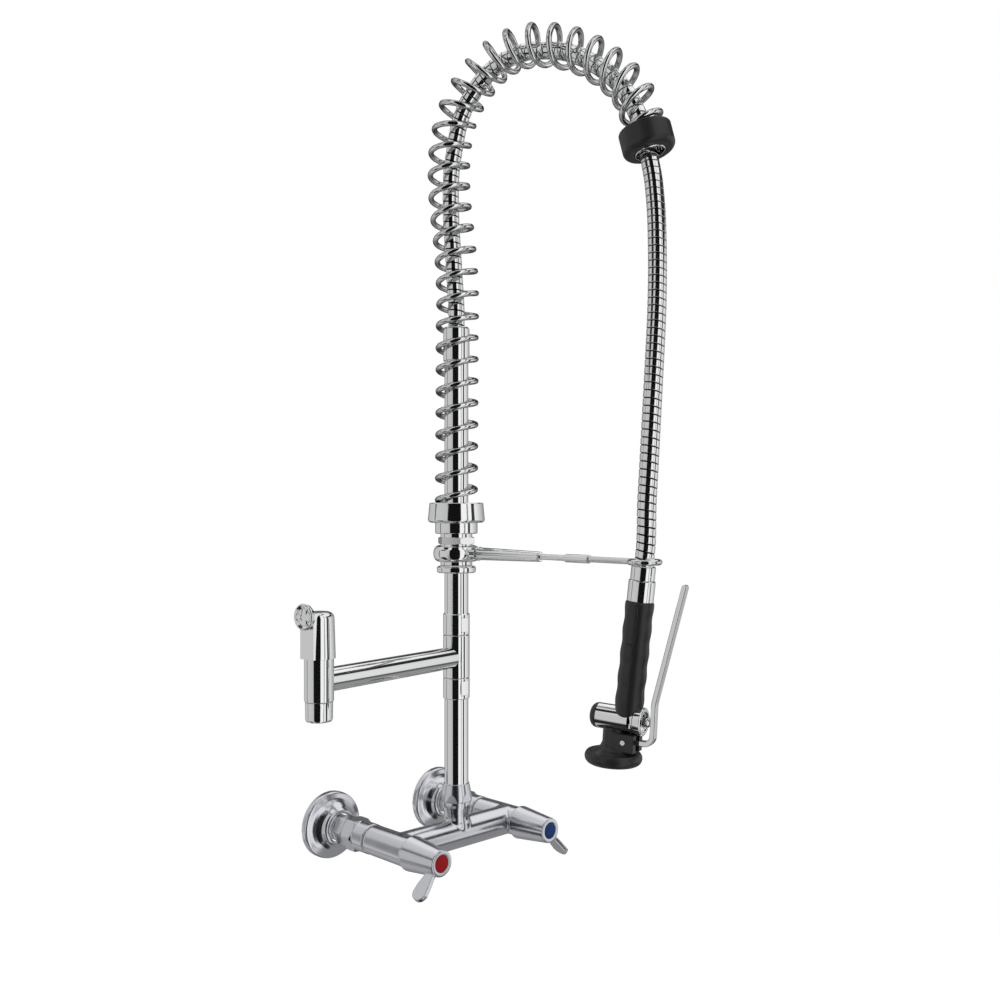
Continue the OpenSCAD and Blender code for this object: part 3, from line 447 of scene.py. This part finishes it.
# the camera sees white, metal sees the room, and the rest is lit evenly
white, mirrored, even = add("ShaderNodeBackground"), add("ShaderNodeBackground"), add("ShaderNodeBackground")
by_gloss, by_sight, out = add("ShaderNodeMixShader"), add("ShaderNodeMixShader"), add("ShaderNodeOutputWorld")
rays = add("ShaderNodeLightPath")
white.inputs["Color"].default_value = (1, 1, 1, 1)
even.inputs["Color"].default_value = (.74, .74, .75, 1)
link(room, mirrored.inputs["Color"])
link(rays.outputs["Is Glossy Ray"], by_gloss.inputs[0])
link(even.outputs[0], by_gloss.inputs[1])
link(mirrored.outputs[0], by_gloss.inputs[2])
in_sight = math_node(tree, "MAXIMUM", rays.outputs["Is Camera Ray"], rays.outputs["Is Transmission Ray"])
link(in_sight, by_sight.inputs[0])
link(by_gloss.outputs[0], by_sight.inputs[1])
link(white.outputs[0], by_sight.inputs[2])
link(by_sight.outputs[0], out.inputs[0])

FLOOR_R, FLOOR_GLOW = 1.3, .35
floor = bmesh.new()
bmesh.ops.create_circle(floor, cap_ends=True, radius=FLOOR_R, segments=96,
                        matrix=Matrix.Translation((0, -.2, -.45)))
floor = finish_mesh("floor", floor)
floor_paint = bpy.data.materials.new("floor_paint")
floor_paint.use_nodes = True
tree = floor_paint.node_tree
add, link = tree.nodes.new, tree.links.new
shader, out = tree.nodes["Principled BSDF"], tree.nodes["Material Output"]
shader.inputs["Base Color"].default_value = (.9, .9, .9, 1)
shader.inputs["Roughness"].default_value = .8
glow, both, rays = add("ShaderNodeEmission"), add("ShaderNodeAddShader"), add("ShaderNodeLightPath")
seen = math_node(tree, "MAXIMUM", rays.outputs["Is Camera Ray"], rays.outputs["Is Glossy Ray"])
link(math_node(tree, "MULTIPLY", seen, FLOOR_GLOW), glow.inputs["Strength"])
link(shader.outputs[0], both.inputs[0])
link(glow.outputs[0], both.inputs[1])
link(both.outputs[0], out.inputs[0])
floor.data.materials.append(floor_paint)
floor.visible_glossy = False     # metal shows the room's own floor

for name, spot, size, power in (("key", (-1.5, -1.2, 1.9), 1.4, 16), ("fill", (1.4, -1.6, 1.2), 1.2, 7)):
    lamp_data = bpy.data.lights.new(name, "AREA")
    lamp_data.shape = "DISK"
    lamp_data.size = size
    lamp_data.energy = power
    lamp = bpy.data.objects.new(name, lamp_data)
    lamp.location = spot
    lamp.rotation_euler = (Vector((0, -.2, .4)) - Vector(spot)).to_track_quat("-Z", "Y").to_euler()
    lamp.visible_glossy = False
    scene.collection.objects.link(lamp)

# ---------- wall inlets ----------
# Two plated cover plates hide the holes in the wall. Through each passes a brass connector with
# a hexagon, which holds a nylon check valve, and a union nut draws the mixer up to it on a
# rubber washer.
finish = {"satin_chrome": finish_of("cast_chrome", (.71, .72, .76), 1, .19, .4, 70, .000015),
          "rubber": finish_of("black_rubber", (.011, .011, .0115), 0, .36, .35, 900, .00004),
          "nylon": finish_of("white_nylon", (.86, .86, .82), 0, .45, .3, 300, .00001)}


def plain(*names):
    """The nodes named keep the construction's own shape, in the finish of their slot."""
    for name in names:
        nodes[name].data.materials.clear()
        nodes[name].data.materials.append(finish[slot_of[name]])


def cast(node, grain, passes):
    """Stands for a node as one even skin of a grain in metres, softened at its edges."""
    source = bmesh.new()
    source.from_mesh(nodes[node].data)
    bmesh.ops.remove_doubles(source, verts=source.verts, dist=2e-6)
    piece = finish_mesh(node + "_casting", source)
    skin = piece.modifiers.new("skin", "REMESH")
    skin.mode = "VOXEL"
    skin.voxel_size = grain
    graph = bpy.context.evaluated_depsgraph_get()
    soft = bmesh.new()
    soft.from_mesh(piece.evaluated_get(graph).to_mesh())
    for _ in range(passes):
        bmesh.ops.smooth_vert(soft, verts=soft.verts, factor=.5, use_axis_x=True, use_axis_y=True,
                              use_axis_z=True)
    piece.modifiers.clear()
    soft.to_mesh(piece.data)
    soft.free()
    piece.data.shade_smooth()
    stand_for(piece, finish[slot_of[node]], node)


cast("wall_flanges", .0006, 6)
cast("inlet_connectors", .00055, 2)
cast("union_nuts", .0005, 2)
plain("sealing_washers", "check_valves")

# ---------- mixer ----------
# One hollow brass casting, satin plated: two barrels, the bridge between them and the column
# that takes the riser. Each barrel holds a brass cartridge with a fixed ceramic disc.
finish["brass"] = finish_of("machined_brass", (.78, .6, .3), 1, .25, .4, 200, .00001)
finish["ceramic"] = finish_of("white_ceramic", (.9, .89, .86), 0, .2, .3, 300, .000005)
cast("mixer_body", .0008, 7)
plain("cartridge_bodies", "fixed_discs")

# ---------- taps ----------
# Cast handles, each a tapered bell with a paddle. A screw under the coloured button holds the
# handle to its brass spindle, which works the cartridge.
finish["steel"] = finish_of("bright_steel", (.76, .765, .77), 1, .1, .5, 120, .00001)
finish["red"] = finish_of("red_button", (.25, .004, .006), 0, .3, .4, 90, .00001)
finish["blue"] = finish_of("blue_button", (.006, .03, .12), 0, .3, .4, 90, .00001)
for colour in ("red", "blue"):
    finish[colour].node_tree.nodes["Principled BSDF"].inputs["Specular IOR Level"].default_value = .15


def rounded(node, width):
    """A copy of a node's shape, as a bmesh, whose edges are rounded by a width in metres."""
    bm = bmesh.new()
    bm.from_mesh(nodes[node].data)
    bmesh.ops.remove_doubles(bm, verts=bm.verts, dist=2e-6)
    bmesh.ops.dissolve_limit(bm, angle_limit=math.radians(.3), verts=bm.verts, edges=bm.edges)
    edges = [e for e in bm.edges if e.is_manifold and e.calc_face_angle() > math.radians(28)]
    bmesh.ops.bevel(bm, geom=edges, offset=width, segments=2, profile=.5, affect="EDGES",
                    clamp_overlap=True, material=-1)
    return bm


def weighted(piece):
    """Keeps flat faces flat beside their rounded edges."""
    level = piece.modifiers.new("level", "WEIGHTED_NORMAL")
    level.keep_sharp = True
    return piece


def edged(**edge_widths):
    """Stands for each node with its own shape, whose edges are rounded by a width in mm."""
    for node, width in edge_widths.items():
        piece = finish_mesh(node + "_piece", rounded(node, width * .001), 40)
        stand_for(weighted(piece), finish[slot_of[node]], node)


cast("hot_handle", .0004, 5)
cast("cold_handle", .0004, 5)
edged(hot_screw=.15, cold_screw=.15, hot_index=.2, cold_index=.2)
plain("hot_spindle", "cold_spindle")

# ---------- riser ----------
# Two lengths of chromed tube, one over the other, joined by a brass core on which the pot filler
# swings between two collars. A hexagon nut holds the lower one in the mixer. The stop nut and its
# nylon washer carry the overhead part.
finish["chrome"] = finish_of("polished_chrome", (.87, .875, .88), 1, .045, .6, 55, .000012)
cast("riser_nut", .0004, 2)
edged(swivel_collars=.3, stop_nut=.3)
plain("riser_tube", "swivel_core", "core_orings", "upper_tube", "thrust_washer")

# ---------- pot filler ----------
# A tee that swings round the riser's core, a tube fixed in it, and a spout with its own valve
# under a hood. The lobed knob turns the valve's spindle, and the aerator sits in the spout's foot.
edged(swivel_tee=.25, spout_body=.3, spout_hood=.4, spout_knob=.25, aerator_housing=.3)
plain("arm_tube", "spout_valve", "knob_spindle", "aerator_insert")

# ---------- hook ----------
# A chromed sleeve turns on the riser on two nylon bushes. Its boss holds the hook's stem, and a
# small coupling joins the stem to the ring, which steadies the hose over the gun. The collar on
# the sleeve is the spring's seat.
edged(swivel_sleeve=.4, hook_boss=.4, boss_nut=.35, hook_stem=.25, hook_coupling=.2, spring_collar=.3)
plain("sleeve_bushes", "hook_ring")

# ---------- bumper and hose ends ----------
# A moulded rubber ring sits on the spring's lower end, with a chromed bush for the hose. A crimped
# nut screws the hose to the riser, and a turned ferrule joins it to the gun.
edged(spring_bumper=.4, bumper_bush=.15, hose_nut=.3, hose_end_ferrule=.3)

# ---------- grip ----------
# Moulded black sleeve on the gun's chromed tube, waved for the fingers. A bare pad of the same
# moulding, raised a little, lies on its left side.
PAD_MIDDLE, PAD_HALF_TURN = math.radians(173), math.radians(27)
PAD_Z, PAD_HALF_LENGTH, PAD_FACE_R = -.0515, .0185, .0132
PAD_POWER = .45                  # 1 makes the pad an ellipse, and 0 a rectangle
GRIP_EDGE = .00035
pad_outline = [(0, 0), (.5, 0), (.85, 0), (.95, -.0001), (1, -.0012)]   # share of the way out, and rise
pad = bmesh.new()
pad_points = [pad.verts.new((reach, 0, rise)) for reach, rise in pad_outline]
for a, b in zip(pad_points, pad_points[1:]):
    pad.edges.new((a, b))
bmesh.ops.spin(pad, geom=pad.verts[:] + pad.edges[:], axis=(0, 0, 1), cent=(0, 0, 0), angle=math.tau,
               steps=64, use_merge=True)
bmesh.ops.remove_doubles(pad, verts=pad.verts, dist=1e-5)
for vert in pad.verts:
    turn, reach = math.atan2(vert.co.y, vert.co.x), vert.co.xy.length
    u, v = (math.copysign(abs(w) ** PAD_POWER, w) * reach for w in (math.cos(turn), math.sin(turn)))
    angle = PAD_MIDDLE + PAD_HALF_TURN * u
    r = PAD_FACE_R + vert.co.z
    vert.co = GUN @ Vector((r * math.cos(angle), r * math.sin(angle), PAD_Z + PAD_HALF_LENGTH * v))
bmesh.ops.recalc_face_normals(pad, faces=pad.faces)
if pad.faces[0].normal.dot(pad.faces[0].calc_center_median() - GUN @ Vector((0, 0, PAD_Z))) < 0:
    bmesh.ops.reverse_faces(pad, faces=pad.faces)
pad_mesh = bpy.data.meshes.new("pad")
pad.to_mesh(pad_mesh)
pad.free()
grip = rounded("gun_grip", GRIP_EDGE)
grip.from_mesh(pad_mesh)
stand_for(weighted(finish_mesh("gun_grip_sleeve", grip, 40)), finish["rubber"], "gun_grip")
edged(gun_handle_tube=.25)

# ---------- gun valve ----------
# A chromed barrel across the grip's foot holds the valve: a steel stem with a rubber disc, which
# a small coil of round wire with closed ends pushes out. A plastic cap closes the barrel at the
# back, and the gland nut at the front. The coil shortens as the lever is squeezed; here it is built at rest.
HEAD = GUN @ Matrix.Translation((0, 0, -.1371)) @ Matrix.Rotation(math.radians(-3.4), 4, "X")
VALVE = HEAD @ Matrix.Rotation(math.radians(90), 4, "X")
RETURN_WIRE_R, RETURN_COIL_R, RETURN_TURNS, RETURN_TURN_STEPS = .00065, .00595, 8, 24
RETURN_BACK, RETURN_FRONT, STEM_TRAVEL = -.0255, -.0099, .0028
finish["black_plastic"] = finish_of("black_plastic", (.014, .014, .0145), 0, .34, .3, 1300, .00002)
edged(gun_body=.4, gun_end_cap=.3, gland_nut=.3, valve_stem=.2)
plain("valve_disc")
return_rise = [(0, 0), (1 / RETURN_TURNS, .1), (1 - 1 / RETURN_TURNS, .9), (1, 1)]
return_outs, return_path = [], []
for k in range(RETURN_TURNS * RETURN_TURN_STEPS + 1):
    share = k / (RETURN_TURNS * RETURN_TURN_STEPS)
    turn = math.tau * RETURN_TURNS * share
    out = Vector((math.cos(turn), math.sin(turn), 0))
    height = (RETURN_BACK + RETURN_WIRE_R
              + (RETURN_FRONT - RETURN_BACK - 2 * RETURN_WIRE_R) * look_up(return_rise, share))
    return_outs.append(VALVE.to_3x3() @ out)
    return_path.append(VALVE @ (RETURN_COIL_R * out + Vector((0, 0, height))))
return_coil = finish_mesh("return_coil", swept(return_path, return_outs, round_wire(RETURN_WIRE_R), 10), 50)
stand_for(return_coil, finish["steel"], "return_spring")
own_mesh(return_coil)

# ---------- spray head ----------
# A moulded skirt under the barrel flares to the steel spray plate, and its ears hold the lever's
# pin. A rubber ring is stretched round its rim, to spare the dishes.
cast("nozzle_skirt", .0005, 3)
edged(nozzle_bumper=.3, spray_plate=.2, pivot_pin=.2)

# ---------- lever ----------
# Chrome-plated bar of a soft rectangular section, bent at its foot to reach under the valve. It
# pivots on the pin in the skirt, and presses the valve's stem when it is squeezed.
LEVER_HALF_W, LEVER_HALF_T, LEVER_CORNER = .0035, .0025, .0011
# points of the lever's middle line, each out from the valve's axis and up
PIVOT, LEVER_TIP = Vector((.0005, -.0189)), Vector((.0471, .121))
HEEL, HEEL_R = Vector((.0167, -.0109)), .008
SWEEP, SWEEP_R = Vector((.0547, .014)), .03


def arc(middle, radius, degrees):
    """Points of an arc at the angles of a range."""
    return [middle + radius * Vector((math.cos(a), math.sin(a))) for a in map(math.radians, degrees)]


lever_line = [PIVOT, Vector((.0065, -.0189)), Vector((.012, -.0189))]
lever_line += arc(HEEL, HEEL_R, range(-90, 1, 9))
lever_line += arc(SWEEP, SWEEP_R, range(180, 167, -2))
lever_line += [lever_line[-1].lerp(LEVER_TIP, k / 8) for k in range(1, 9)]
tip_way = (lever_line[-1] - lever_line[-2]).normalized()
tip_turns = [math.radians(15 * k) for k in range(1, 6)]
taper = [1] * len(lever_line) + [math.cos(a) for a in tip_turns]
lever_line += [LEVER_TIP + LEVER_HALF_T * math.sin(a) * tip_way for a in tip_turns]


def on_head(point):
    """The place of a point that is given out from the valve's axis and up."""
    return HEAD @ Vector((0, -point.x, point.y))


def lever_section(k, turn):
    across = math.copysign(LEVER_HALF_T - LEVER_CORNER, math.cos(turn)) + LEVER_CORNER * math.cos(turn)
    return (taper[k] * across,
            math.copysign(LEVER_HALF_W - LEVER_CORNER, math.sin(turn)) + LEVER_CORNER * math.sin(turn))


lever_outs = []
for k in range(len(lever_line)):
    way = lever_line[min(k + 1, len(lever_line) - 1)] - lever_line[max(k - 1, 0)]
    square = Vector((way.y, -way.x)).normalized()
    lever_outs.append((on_head(square) - on_head(Vector((0, 0)))).normalized())
lever = swept([on_head(p) for p in lever_line], lever_outs, lever_section, 32)
stand_for(weighted(finish_mesh("lever_bar", lever, 50)), finish["chrome"], "gun_lever")
